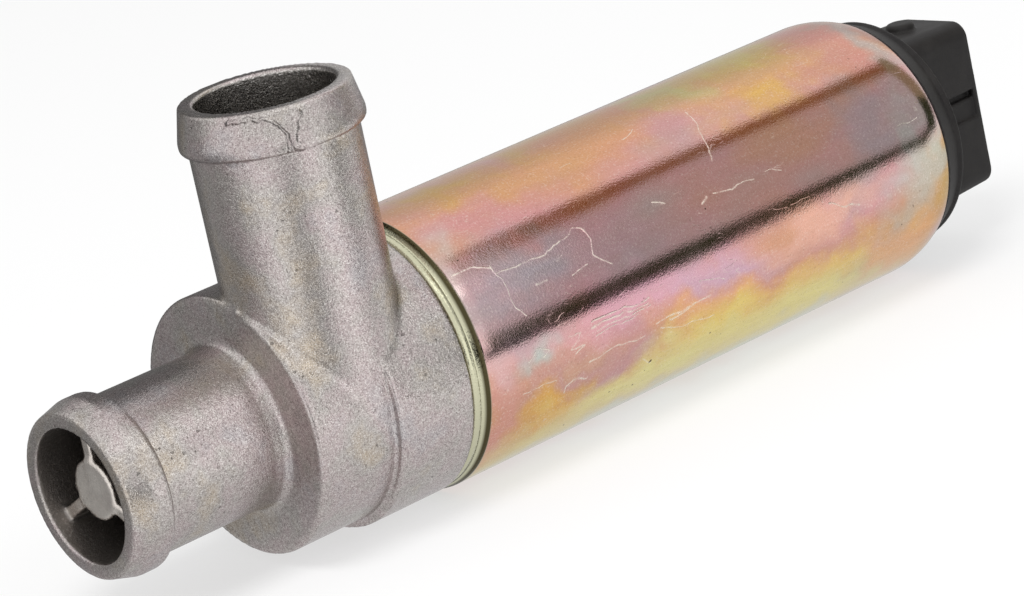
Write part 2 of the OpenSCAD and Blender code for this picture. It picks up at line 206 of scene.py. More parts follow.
# Scratches on the can: points along and round it, and their half width, which is drawn wider
# by a factor
SCRATCH_WIDEN = 1.15
SCRATCHES = [
    ([(13.1, 18.1), (16.9, 18.4), (19.4, 19.6), (20, 20.9), (25.6, 21.2), (30.6, 20.9),
      (33.8, 20.3), (35.6, 19.2), (36.9, 20), (37.5, 21.8), (36.8, 24.3), (38.1, 25.6),
      (39.4, 26.5)], 0.15),
    ([(19.4, 19.3), (20.4, 22.5), (20.6, 26.2), (21.9, 28.4)], 0.12),
    ([(25.4, 25.1), (27.3, 25.3)], 0.24),
    ([(31.2, 25.4), (35.2, 25)], 0.14),
    ([(64.4, 18.7), (66.3, 14.3), (67.5, 11.2), (67.8, 8.7)], 0.16),
    ([(58.6, 23.8), (60.2, 22.9)], 0.26),
    ([(61.8, 23), (64.4, 23.8), (69.6, 23.6)], 0.17),
    ([(72, 23.2), (75.2, 24)], 0.13),
    ([(50.6, 20.6), (52.8, 21.6)], 0.16),
    ([(42, 9), (44.2, 9.1)], 0.13),
    ([(55, 8.8), (58.2, 7.6)], 0.12),
    ([(99.8, 25.6), (103.8, 25.6)], 0.1),
    ([(19.8, 34.4), (21.8, 33.1), (24, 33.9), (22.8, 34.7)], 0.14),
    ([(27.8, 33.4), (30, 33.8), (28.1, 35.8), (30.2, 36.3), (28.6, 36.8)], 0.2),
    ([(32.5, 33.4), (44, 33.4)], 0.2),
    ([(32.2, 34.1), (43.8, 34.1)], 0.2),
    ([(33.2, 34.7), (44.2, 34.6)], 0.15),
    ([(32.8, 35.2), (41.2, 35.1)], 0.12),
    ([(31, 38.7), (36.8, 38.8), (42.5, 39.2)], 0.2),
    ([(45, 38.1), (50, 37.9), (55.8, 37.3)], 0.2),
    ([(47.5, 38.5), (52.5, 37.8)], 0.16),
    ([(18, 39), (24.4, 39.6)], 0.12),
    ([(26.4, 42.1), (26.6, 40.9), (28.1, 40.1), (29.7, 40.7), (30.8, 41.3)], 0.24),
    ([(45.6, 39.3), (50, 40.3), (56.3, 41.1)], 0.16),
    ([(42.5, 43.4), (44.7, 45)], 0.16),
    ([(82, 31.8), (85, 33.5), (88.2, 34.4)], 0.17),
    ([(54, 34.3), (58.8, 35.9)], 0.12),
]

# Moulded slots: colour, worn colour, roughness, size and depth of the grain, gloss
MOULDED = {
    "black_nylon": ((30, 28, 28), (42, 40, 39), 0.46, 0.28, 0.02, 0.22),
    "seal_rubber": ((30, 30, 31), (52, 50, 49), 0.62, 0.5, 0.02, 0.5),
    "natural_nylon": ((226, 219, 200), (206, 196, 172), 0.42, 0.4, 0.02, 0.5),
}

# Metal slots: colour, stain, roughness, how far the lines stretch along x, y and z, their depth
ALONG, ROUND, EVEN = (9, 1, 1), (0.5, 14, 14), (1, 1, 1)
METALS = {
    "bronze": ((172, 128, 78), (120, 86, 54), 0.42, EVEN, 0.02),
    "ground_steel": ((196, 194, 190), (160, 157, 153), 0.22, ROUND, 0.01),
    "turned_aluminium": ((200, 198, 196), (168, 166, 163), 0.3, ROUND, 0.01),
    "spring_steel": ((150, 146, 142), (104, 100, 98), 0.34, ALONG, 0.01),
    "plain_steel": ((158, 154, 150), (120, 114, 106), 0.42, EVEN, 0.02),
    "thin_brass": ((206, 172, 104), (168, 134, 78), 0.3, ALONG, 0.01),
    "black_steel": ((62, 60, 60), (40, 38, 38), 0.46, EVEN, 0.02),
    "copper_wire": ((188, 108, 66), (132, 66, 38), 0.32, ROUND, 0.01),
    "tinned_brass": ((206, 203, 194), (172, 164, 140), 0.28, ALONG, 0.01),
}

# Studio cards seen only in reflections. The can's card stands in a plane that faces it:
# pairs of outer and inner corners, each the place across the card and the height.
CARD_TURN = 135
CARD_GAP = 200
CARD_EDGE = [
    ((95, -21), (88, 13.5)), ((45, -21), (43, 12.3)), ((18, -18), (18, 11.4)),
    ((-6, -8), (-6, 11)), ((-60, -2), (-60, 14)), ((-124, -6), (-76, 25)), ((-172, 26), (-86, 60)),
    ((-180, 100), (-88, 100)), ((-176, 178), (-85, 148)), ((-146, 212), (-81, 165)),
    ((-110, 210), (-77, 173)), ((-98, 242), (-61, 198)), ((-85, 278), (-44, 226)),
    ((-64, 337), (15, 212)),
]
# Colours of the card's border, by how many of its pieces have them, and of its middle
CARD_BORDER = [(6, (0.034, 0.046, 0.02)), (3, (0.34, 0.3, 0.19)), (4, (0.26, 0.145, 0.055))]
CARD_MIDDLE_LEVEL = 0.57

# Corners of a dark card just above the floor, in front of the can
FOOT = [(8, -108), (27, -110), (49, -117), (73, -125), (112, -134), (141, -142), (79, -204),
        (30, -190)]
FOOT_LEVEL = 0.03

# Cards round the radial port: direction clockwise from +Y, distance, half width, lowest and
# highest place, level
STRIPS = [
    ("card_strip", 207, 112, 25, -21, 11, 0.02),
    ("card_bright", 163.5, 90, 25, -21, 26, 1.3),
    ("card_left", 240, 90, 14, -21, 26, 1.25),
]

# Dark card behind the hose ports and light card behind the can, in a plane this far behind
# the axis: left, right, low and high edge. The light one gets lighter upwards.
BACK_Y = 230
BACK_DARK = (-420, 40, -20.1, 190)
BACK_LIGHT = (40, 700, -20.1, 520)
BACK_DARK_LEVEL = 0.35
BACK_FADE = ((60, 0.62), (500, 1.0))

# Corners of a dark card close behind the hose ports, which only the axial port reflects:
# along and up, in a plane this far behind the axis
NEAR_CARD = [(-22, -20), (25, -20), (32, 40), (47, 100), (58, 130), (-22, 130)]
NEAR_CARD_Y = 45
NEAR_CARD_LEVEL = 0.16

# Bright card beside the can's card, in its plane: across and up, and its level
GLINT = (62, 128, 160, 280)
GLINT_LEVEL = 2.0

# Bright card up front that only the taper of the axial port reflects: middle, half size, level
TAPER_CARD = ((-58, -170, 244), 50, 2.2)

# Level of the floor in reflections: a place in front of the valve and one behind it, each with
# its level, then that card's left, right, near and far edge, and its height over the floor
FLOOR_FALL = ((-60, 1.0), (50, 0.28))
FLOOR_FALL_EDGES = (-500, 500, -60, 600)
FLOOR_FALL_GAP = 0.2

# A lighter strip of floor further back: left, right, near and far edge, and level
FLOOR_FAR = (-420, 40, 110, 225)
FLOOR_FAR_LEVEL = 0.40

# Height of this strip and of the dark card in front of the can over the floor
FLOOR_GAP = 0.4

# Floor: height, half size, the share of plain white that hides its far edge, and colour
FLOOR_Z = -21.1
FLOOR_REACH = 6000
FLOOR_GLOW = 0.6
FLOOR_COLOUR = (0.86, 0.86, 0.86, 1)

# Light: the world's level on the object, and lamps with their place, size and power
WORLD_LEVEL = 0.72
LAMPS = [("key", (-0.5, -0.3, 0.9), 0.5, 6.0), ("fill", (0.6, -0.8, 0.7), 0.6, 3.0)]

# Camera, fitted to the photo: place in metres, the direction behind it, roll and lens
CAMERA_PLACE = (-0.36859, -0.45125, 0.17744)
CAMERA_BACK = (-0.5809, -0.75763, 0.29757)
CAMERA_ROLL = math.radians(-11.73)
CAMERA_LENS = 141.59


# Skins from distance fields

# Cells of a turned form's table, the room round its outline, and the least length that counts
TABLE_STEP = 0.1
TABLE_SIDE = 30
TABLE_END = 14
TINY = 1e-12

# Rounds of pulling a skin onto its surface, the longest pull in cells, the step that measures
# the slope, and the least slope, squared
PULLS = 3
PULL_MOST = 0.3
SLOPE_STEP = 0.02
SLOPE_LEAST = 0.25


def arc(cx, cy, r, start, end, n=6):
    """Points on an arc, angles in degrees."""
    turns = np.radians(np.linspace(start, end, n + 1))
    return [(cx + r * math.cos(a), cy + r * math.sin(a)) for a in turns]


class Turned:
    """Signed distance to a solid turned from an outline of (radius, place) points."""

    def __init__(self, outline):
        half = np.array(outline, float)
        ring = np.vstack([half, half[::-1] * (-1, 1)])
        self.low = np.array([0, half[:, 1].min() - TABLE_END])
        high = np.array([half[:, 0].max() + TABLE_SIDE, half[:, 1].max() + TABLE_END])
        count = np.ceil((high - self.low) / TABLE_STEP).astype(int) + 1
        axes = [self.low[i] + TABLE_STEP * np.arange(count[i]) for i in (0, 1)]
        r, x = np.meshgrid(*axes, indexing="ij")
        nearest = np.full(r.shape, np.inf)
        inside = np.zeros(r.shape, bool)
        for (r0, x0), (r1, x1) in zip(ring, np.roll(ring, -1, axis=0)):
            dr, dx = r1 - r0, x1 - x0
            length = dr * dr + dx * dx
            if length < TINY:
                continue
            t = np.clip(((r - r0) * dr + (x - x0) * dx) / length, 0, 1)
            nearest = np.minimum(nearest, (r - r0 - t * dr) ** 2 + (x - x0 - t * dx) ** 2)
            if abs(dx) > TINY:
                crossed = ((x0 > x) != (x1 > x)) & (r < r0 + (x - x0) * dr / dx)
                inside ^= crossed
        self.table = np.where(inside, -1, 1) * np.sqrt(nearest)

    def __call__(self, r, x):
        """Distance at a radius and place, read between the table's four nearest values."""
        place = (np.stack([r, x], -1) - self.low) / TABLE_STEP
        last_cell = np.array(self.table.shape) - 1.001
        place = np.clip(place, 0, last_cell)
        cell = place.astype(int)
        a, b = np.moveaxis(place - cell, -1, 0)
        i, j = np.moveaxis(cell, -1, 0)
        t = self.table
        return ((t[i, j] * (1 - a) + t[i + 1, j] * a) * (1 - b)
                + (t[i, j + 1] * (1 - a) + t[i + 1, j + 1] * a) * b)


def blend_union(a, b, k):
    """Union of two distances with a fillet about k wide."""
    h = np.clip(0.5 + 0.5 * (b - a) / k, 0, 1)
    return b + (a - b) * h - k * h * (1 - h)


def blend_cut(a, b, k):
    """Distance a with b cut away, its edge rounded."""
    return -blend_union(-a, b, k)


def rounded_box(x, y, z, half, corner):
    """Distance to a box round the origin with rounded edges."""
    q = [np.abs(v) - h + corner for v, h in zip((x, y, z), half)]
    outside = np.sqrt(sum(np.maximum(v, 0) ** 2 for v in q))
    return outside + np.minimum(np.maximum(np.maximum(q[0], q[1]), q[2]), 0) - corner


def sampled(distance, low, high, step):
    """The distances at the corners of a grid of cells between two corners of a box."""
    count = np.ceil((high - low) / step).astype(int) + 1
    field = np.empty(count)
    grid_y, grid_z = np.meshgrid(low[1] + step * np.arange(count[1]),
                                 low[2] + step * np.arange(count[2]), indexing="ij")
    for i in range(count[0]):
        x = np.full(grid_y.shape, low[0] + step * i)
        field[i] = distance(np.stack([x, grid_y, grid_z], -1))
    return field


def surface_net(field, step):
    """The mesh of the surface where a grid of distances is 0: a point in each cell that it
    crosses, counted from the grid's low corner, and the quads between these points."""
    solid = field < 0
    total = np.zeros(field.shape + (3,), np.float32)
    hits = np.zeros(field.shape, np.int16)
    faces = []
    for axis in range(3):
        others = [a for a in range(3) if a != axis]
        if axis == 1:
            others.reverse()
        near, far = [slice(None)] * 3, [slice(None)] * 3
        near[axis], far[axis] = slice(0, -1), slice(1, None)
        edge = np.argwhere(solid[tuple(near)] != solid[tuple(far)])
        nxt = edge.copy()
        nxt[:, axis] += 1
        f0, f1 = field[tuple(edge.T)], field[tuple(nxt.T)]
        point = edge.astype(np.float32)
        point[:, axis] += f0 / (f0 - f1)
        corners = []
        for da, db in ((0, 0), (1, 0), (1, 1), (0, 1)):
            cell = edge.copy()
            cell[:, others[0]] -= da
            cell[:, others[1]] -= db
            corners.append(np.ravel_multi_index(cell.T, field.shape))
            np.add.at(total, tuple(cell.T), point)
            np.add.at(hits, tuple(cell.T), 1)
        quad = np.stack(corners, 1)
        flip = f0 > 0
        quad[flip] = quad[flip][:, ::-1]
        faces.append(quad)
    used = np.flatnonzero(hits.ravel())
    number = np.full(hits.size, -1)
    number[used] = np.arange(len(used))
    points = step * total.reshape(-1, 3)[used] / hits.ravel()[used][:, None]
    return points, number[np.vstack(faces)]


def skin(name, distance, low, high, step, body, slot, nodes):
    """A smooth closed mesh on the zero surface of a distance field, in place of CAD nodes."""
    low, high = np.array(low, float), np.array(high, float)
    points, quads = surface_net(sampled(distance, low, high, step), step)
    points = low + points
    for _ in range(PULLS):
        slope = np.stack([distance(points + d) - distance(points - d)
                          for d in SLOPE_STEP * np.eye(3)], -1) / (2 * SLOPE_STEP)
        steepness = np.maximum((slope ** 2).sum(1), SLOPE_LEAST)
        move = distance(points)[:, None] * slope / steepness[:, None]
        points -= np.clip(move, -PULL_MOST * step, PULL_MOST * step)
    points[:, 0] -= BAND_X
    return piece(name, points * MM, quads, body, slot, nodes)


def piece(name, points, quads, body, slot, nodes):
    """A smooth-shaded mesh that rides on a body and stands for CAD nodes."""
    mesh = bpy.data.meshes.new(name)
    mesh.vertices.add(len(points))
    mesh.vertices.foreach_set("co", np.asarray(points, np.float32).ravel())
    mesh.loops.add(quads.size)
    mesh.loops.foreach_set("vertex_index", quads.astype(np.int32).ravel())
    mesh.polygons.add(len(quads))
    mesh.polygons.foreach_set("loop_start", np.arange(0, quads.size, 4, dtype=np.int32))
    mesh.polygons.foreach_set("use_smooth", np.ones(len(quads), bool))
    mesh.update(calc_edges=True)
    mesh.validate()
    made = bpy.data.objects.new(name, mesh)
    bpy.context.scene.collection.objects.link(made)
    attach(made, body)
    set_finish(made, slot)
    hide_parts(*nodes)
    return made


# Cast body

def port_outline(port):
    """A hose port along its own axis: tube, bead land, taper and rounded rim."""
    land = port["reach"] - port["back"]
    bead, rim = port["bead"], port["bead"] - RIM_DROP
    return ([(0, 0), (port["tube"], 0), (port["tube"], land + 0.1)]
            + arc(bead - BEAD_ROUND, land + BEAD_ROUND, BEAD_ROUND, -80, 0)
            + [(bead, port["reach"] - port["crest"])]
            + arc(rim - RIM_ROUND, port["reach"] - RIM_ROUND, RIM_ROUND, 10, 90)
            + [(0, port["reach"])])


def barrel_outline():
    """Front disc, the two barrels, neck and spigot."""
    foot, edge, soft, shoulder, corner = 1.5, 0.5, 0.4, 0.3, 0.35
    return ([(0, BODY_FRONT - foot)]
            + arc(AXIAL_PORT["tube"] + foot, BODY_FRONT - foot, foot, 180, 90)
            + arc(FRONT_BARREL_R - edge, BODY_FRONT + edge, edge, -90, 0)
            + arc(FRONT_BARREL_R + soft, BARREL_STEP - soft, soft, 180, 90)
            + arc(REAR_BARREL_R - shoulder, BARREL_STEP + shoulder, shoulder, -90, 0)
            + arc(REAR_BARREL_R - corner, BARREL_REAR - corner, corner, 0, 90)
            + [(NECK_R, BARREL_REAR), (NECK_R, SPIGOT_FRONT),
               (SPIGOT_R, SPIGOT_FRONT), (SPIGOT_R, BODY_REAR), (0, BODY_REAR)])


def cylinder(r, radius, place, start, end):
    """Distance to a cylinder, from the distance to its axis and the place along it."""
    return np.maximum(r - radius, np.maximum(start - place, place - end))


def make_casting():
    """The casting: barrels, both ports, bores, seat, chamber, and the spider with its hub."""
    barrels = Turned(barrel_outline())
    axial = Turned(port_outline(AXIAL_PORT))
    radial = Turned(port_outline(RADIAL_PORT))

    def distance(p):
        x, y, z = np.moveaxis(p, -1, 0)
        r_valve, r_port = np.hypot(y, z), np.hypot(x - RADIAL_X, y - RADIAL_Y)
        outer = blend_union(barrels(r_valve, x), axial(r_valve, -x), FILLET)
        # Under the valve's axis the radial port stays within the front barrel.
        barrel = r_valve - FRONT_BARREL_R - 3 * np.maximum(z, 0)
        outer = blend_union(outer, np.maximum(radial(r_port, z), barrel), STUB_FILLET)
        nick = np.linalg.norm(p - NICK, axis=-1) - NICK_R
        outer = blend_union(outer, nick, FILLET)
        bore = cylinder(r_valve, AXIAL_PORT["bore"], x, -PAST, SEAT_X - THROAT_L)
        bore = np.minimum(bore, cylinder(r_valve, SEAT_R, x, -PAST, SEAT_X + 1))
        bore = np.minimum(bore, cylinder(r_valve, CHAMBER_R, x, SEAT_X, PAST))
        bore = np.minimum(bore, cylinder(r_port, RADIAL_PORT["bore"], z, 0, PAST))
        body = blend_cut(outer, bore, BORE_EDGE)
        hub = cylinder(r_valve, HUB_R, x, HUB_FRONT, HUB_REAR)
        hub = blend_union(hub, spokes(x, y, z), SPOKE_FILLET)
        body = blend_union(body, hub, FILLET)
        return np.maximum(body, -cylinder(r_valve, BUSH_R, x, BUSH_FRONT, HUB_REAR + 5))

    side = REAR_BARREL_R + MARGIN
    low = (-AXIAL_PORT["reach"] - MARGIN, -side, -side)
    high = (BODY_REAR + MARGIN, side, RADIAL_PORT["reach"] + MARGIN)
    return skin("casting", distance, low, high, CASTING_STEP, "housing", "cast_aluminium",
                ["valve_body"])


def spokes(x, y, z):
    """Distance to the three spokes, the first one straight up."""
    front = HUB_FRONT + SPOKE_BEHIND_HUB
    middle = (front + SPOKE_REAR) / 2
    half = ((SPOKE_REAR - front) / 2, SPOKE_T / 2, (AXIAL_PORT["bore"] + SPOKE_SINK) / 2)
    nearest = None
    for turn in np.radians((0, 120, 240)):
        up = z * math.cos(turn) - y * math.sin(turn)
        across = y * math.cos(turn) + z * math.sin(turn)
        arm = rounded_box(x - middle, across, up - half[2], half, SPOKE_ROUND)
        nearest = arm if nearest is None else np.minimum(nearest, arm)
    return nearest


# Can

def make_can():
    """The drawn can: rolled front lip with a fine line round it, wall, rolled rear corner."""
    sweep_r = ((CAN_REAR - ROLL_START) ** 2 + ROLL_DROP ** 2) / (2 * ROLL_DROP)
    middle = CAN_R - sweep_r
    sweep = math.degrees(math.acos((CAN_R - ROLL_DROP - middle) / sweep_r))
    lip_inside, wall_inside = 12.3, 12.9
    rings, roll_steps = 40, 14
    lip = [(r, CAN_FRONT + place) for r, place in LIP]
    wall_front = lip[-1][1]
    outline = [(lip[0][0], lip_inside)] + lip
    outline += [(CAN_R, place) for place in np.linspace(wall_front, ROLL_START, rings)[1:]]
    outline += arc(middle, ROLL_START, sweep_r, 0, sweep, roll_steps)[1:]
    inner = arc(middle, ROLL_START, sweep_r - CAN_WALL, sweep, 0, roll_steps)
    outline += [(r, min(place, CAN_REAR)) for r, place in inner]
    outline += [(CAN_R - CAN_WALL, wall_inside)]
    ring = np.array(outline)
    turn = 2 * math.pi * np.arange(CAN_SIDES) / CAN_SIDES
    points = np.stack([np.repeat(ring[None, :, 1], CAN_SIDES, 0) - BAND_X,
                       -ring[None, :, 0] * np.sin(turn)[:, None],
                       ring[None, :, 0] * np.cos(turn)[:, None]], -1).reshape(-1, 3)
    n = len(ring)
    a, b = np.meshgrid(np.arange(CAN_SIDES), np.arange(n), indexing="ij")
    a2, b2 = (a + 1) % CAN_SIDES, (b + 1) % n
    quads = np.stack([a * n + b, a2 * n + b, a2 * n + b2, a * n + b2], -1).reshape(-1, 4)
    return piece("plated_can", points * MM, quads, "housing", "yellow_zinc", ["can"])


# Plug cap

def socket_frame(y, z):
    """Places counted across and up the plug socket, which sits off the axis, slightly turned."""
    c, s = math.cos(SOCKET_TURN), math.sin(SOCKET_TURN)
    y, z = y + SOCKET_SIDE, z - SOCKET_LIFT
    return y * c - z * s, z * c + y * s


def rounded_rectangle(across, up, half_w, half_h, corner):
    """Distance to a flat rectangle with rounded corners."""
    a, b = np.abs(across) - half_w + corner, np.abs(up) - half_h + corner
    outside = np.hypot(np.maximum(a, 0), np.maximum(b, 0))
    return outside + np.minimum(np.maximum(a, b), 0) - corner


def make_cap():
    """The moulded cap: plug, tapered flange, drafted socket, side pockets and latch lug."""
    flange_front = CAN_REAR + 0.05
    flange = Turned(
        [(0, PLUG_FRONT), (PLUG_R, PLUG_FRONT), (PLUG_R, flange_front), (FLANGE_R, flange_front),
         (FLANGE_BACK_R + 0.05, FLANGE_BACK - 1.1)]
        + arc(FLANGE_BACK_R - 0.1, FLANGE_BACK - RIDGE_R, RIDGE_R, -40, 90)
        + [(0, FLANGE_BACK)])
    half_w, half_h = SOCKET_W / 2, SOCKET_H / 2

    def distance(p):
        x, y, z = np.moveaxis(p, -1, 0)
        across, up = socket_frame(y, z)
        draft = SOCKET_DRAFT * (SOCKET_REAR - x) / (SOCKET_REAR - SOCKET_FLOOR)
        wall = rounded_rectangle(across, up, half_w, half_h, SOCKET_CORNER) - draft
        wall = blend_cut(wall, SOCKET_REAR - x, FILLET)
        shell = np.maximum(wall, CAN_REAR + 1 - x)
        body = blend_union(flange(np.hypot(y, z), x), shell, FILLET)
        lug = rounded_rectangle(np.hypot(x - LUG_X, across), up - half_h, LUG_R, LUG_H, LUG_ROUND)
        body = blend_union(body, lug, LUG_FILLET)
        hollow = rounded_rectangle(across, up, half_w - SOCKET_WALL, half_h - SOCKET_WALL,
                                   SOCKET_MOUTH_CORNER)
        body = blend_cut(body, np.maximum(hollow, SOCKET_FLOOR - x), SOCKET_MOUTH_EDGE)
        middle, half_l = (POCKET_FRONT + POCKET_REAR) / 2, (POCKET_REAR - POCKET_FRONT) / 2
        pocket = rounded_box(x - middle, np.abs(across) - half_w, up - POCKET_UP,
                             (half_l, POCKET_DEPTH, POCKET_H / 2), POCKET_ROUND)
        slot_up = POCKET_UP + (POCKET_H - SLOT_H) / 2
        slot = rounded_box(x - middle, np.abs(across) - half_w, up - slot_up,
                           (half_l, SLOT_DEPTH, SLOT_H / 2), POCKET_ROUND)
        return blend_cut(body, np.minimum(pocket, slot), POCKET_ROUND)

    side = FLANGE_R + CAP_MARGIN
    low = (PLUG_FRONT - CAP_MARGIN, -side, -side)
    high = (SOCKET_REAR + CAP_MARGIN, side, side)
    return skin("plug_cap", distance, low, high, CAP_STEP, "housing", "black_nylon",
                ["connector_cap"])


# Materials

def tone(red, green, blue):
    """A display colour from 0 to 255 as the linear colour that shader sockets take."""
    def linear(v):
        v /= 255
        return v / 12.92 if v <= 0.04045 else ((v + 0.055) / 1.055) ** 2.4
    return (linear(red), linear(green), linear(blue), 1)


class Paint:
    """A procedural material. Its pattern coordinates are millimetres from the datum."""

    def __init__(self, name, **sockets):
        self.material = bpy.data.materials.new(name)
        self.material.use_nodes = True
        self.tree = self.material.node_tree
        self.shader = self.tree.nodes["Principled BSDF"]
        for socket, value in sockets.items():
            self.shader.inputs[socket.replace("_", " ")].default_value = value
        local = self.node("ShaderNodeTexCoord").outputs["Object"]
        self.place = self.vector("MULTIPLY_ADD", local, (1 / MM,) * 3, (BAND_X, 0, 0))
        split = self.node("ShaderNodeSeparateXYZ", self.place)
        self.x, self.y, self.z = split.outputs
        self.around = self.math("MULTIPLY", self.math("ARCTAN2", self.math("MULTIPLY", self.y, -1),
                                                      self.z), CAN_R)
        self.radius = self.vector("LENGTH", self.vector("MULTIPLY", self.place, (0, 1, 1)))

    def node(self, kind, *values, **settings):
        """A node with its settings, and its first sockets fed."""
        made = self.tree.nodes.new(kind)
        for key, value in settings.items():
            setattr(made, key, value)
        for socket, value in zip(made.inputs, values):
            self.feed(socket, value)
        return made

    def feed(self, socket, value):
        """Links a socket to another one, or gives it a constant."""
        if isinstance(value, bpy.types.NodeSocket):
            self.tree.links.new(value, socket)
        elif value is not None:
            socket.default_value = value

    def math(self, operation, *values):
        return self.node("ShaderNodeMath", *values, operation=operation).outputs[0]

    def vector(self, operation, *values):
        made = self.node("ShaderNodeVectorMath", *values, operation=operation)
        single = operation in ("LENGTH", "DISTANCE", "DOT_PRODUCT")
        return made.outputs["Value" if single else "Vector"]

    def all_of(self, *masks):
        """Where every mask is 1: their product."""
        total = masks[0]
        for mask in masks[1:]:
            total = self.math("MULTIPLY", total, mask)
        return total

    def join(self, x, y, z=0.0):
        return self.node("ShaderNodeCombineXYZ", x, y, z).outputs[0]

    def remap(self, value, low, high, to_low=0.0, to_high=1.0, smooth=False):
        """Runs from one result to the other as the value goes from low to high."""
        kind = "SMOOTHSTEP" if smooth else "LINEAR"
        return self.node("ShaderNodeMapRange", value, low, high, to_low, to_high,
                         interpolation_type=kind).outputs[0]

    def noise(self, size, detail=2.0, roughness=0.5, stretch=(1, 1, 1)):
        """Soft noise of about that size in millimetres, from 0 to 1."""
        place = self.vector("DIVIDE", self.place, stretch)
        return self.node("ShaderNodeTexNoise", place, None, 1 / size, detail, roughness).outputs[0]

    def drift(self, size, detail, roughness):
        """Noise of about that size as three values, to pull a pattern out of shape with."""
        return self.node("ShaderNodeTexNoise", self.place, None, 1 / size, detail,
                         roughness).outputs[1]

    def mix(self, amount, a, b):
        """Colour a where the amount is 0, colour b where it is 1."""
        made = self.node("ShaderNodeMix", data_type="RGBA")
        for index, value in ((0, amount), (6, a), (7, b)):
            self.feed(made.inputs[index], value)
        return made.outputs[2]

    def ramp(self, value, *stops):
        """Colours for values, from pairs of a value and its colour."""
        made = self.node("ShaderNodeValToRGB", value)
        marks = made.color_ramp.elements
        while len(marks) < len(stops):
            marks.new(1)
        for mark, (place, colour) in zip(marks, stops):
            mark.position, mark.color = place, colour
        return made.outputs[0]

    def bump(self, height, depth, normal=None):
        """A relief of that depth in millimetres where height is 1."""
        made = self.node("ShaderNodeBump")
        made.inputs["Strength"].default_value = 1
        made.inputs["Distance"].default_value = depth * MM
        self.feed(made.inputs["Height"], height)
        self.feed(made.inputs["Normal"], normal)
        return made.outputs[0]

    def stroke(self, flat, points, width):
        """1 on a thin line through points of a flat pattern space, 0 away from it."""
        nearest = None
        for (x0, y0), (x1, y1) in zip(points, points[1:]):
            run = Vector((x1 - x0, y1 - y0, 0))
            from_start = self.vector("SUBTRACT", flat, (x0, y0, 0))
            dot = self.vector("DOT_PRODUCT", from_start, tuple(run / run.length_squared))
            along = self.math("MINIMUM", self.math("MAXIMUM", dot, 0.0), 1.0)
            made = self.node("ShaderNodeVectorMath", tuple(run), operation="SCALE")
            self.feed(made.inputs["Scale"], along)
            gap = self.vector("DISTANCE", from_start, made.outputs[0])
            nearest = gap if nearest is None else self.math("MINIMUM", nearest, gap)
        return self.remap(nearest, 0.0, width, 1.0, 0.0, smooth=True)

    def strokes(self, flat, lines, widen=1.0):
        """1 on several lines, each given by its points and half width."""
        total = None
        for points, width in lines:
            line = self.stroke(flat, points, width * widen)
            total = line if total is None else self.math("MAXIMUM", total, line)
        return total

    def finish(self, colour, roughness, normal):
        self.feed(self.shader.inputs["Base Color"], colour)
        self.feed(self.shader.inputs["Roughness"], roughness)
        self.feed(self.shader.inputs["Normal"], normal)
        return self.material


def bore_walls(paint, port_r):
    """Masks of the wall of the axial bore, from its rim to the seat, and of the radial bore's,
    from the chamber to its rim."""
    bore, rim = AXIAL_PORT["bore"], -AXIAL_PORT["reach"]
    in_axial = paint.all_of(paint.remap(paint.radius, bore - 1.6, bore - 0.7),
                            paint.remap(paint.radius, bore + 0.35, bore + 0.1),
                            paint.remap(paint.x, rim + 0.1, rim + 0.5),
                            paint.remap(paint.x, SEAT_X + 0.6, SEAT_X - 0.4))
    bore, rim = RADIAL_PORT["bore"], RADIAL_PORT["reach"]
    in_radial = paint.all_of(paint.remap(port_r, bore + 0.35, bore + 0.1),
                             paint.remap(paint.z, CHAMBER_R - 7, CHAMBER_R - 5),
                             paint.remap(paint.z, rim - 0.1, rim - 0.5))
    return in_axial, in_radial


def flow_marks(paint, port_r):
    """1 on the flow marks, only on the radial port's bead, with their lines shaken a little."""
    turn = paint.math("ARCTAN2", paint.math("SUBTRACT", paint.x, RADIAL_X),
                      paint.math("SUBTRACT", RADIAL_Y, paint.y))
    flat = paint.join(paint.math("MULTIPLY", turn, RADIAL_PORT["bead"]), paint.z)
    flat = paint.vector("MULTIPLY_ADD", paint.drift(1 / 0.9, 1.0, 0.5), (0.9, 0.9, 0), flat)
    tube = RADIAL_PORT["tube"]
    return paint.all_of(paint.strokes(flat, FLOW_MARKS), paint.remap(port_r, tube, tube + 0.3))


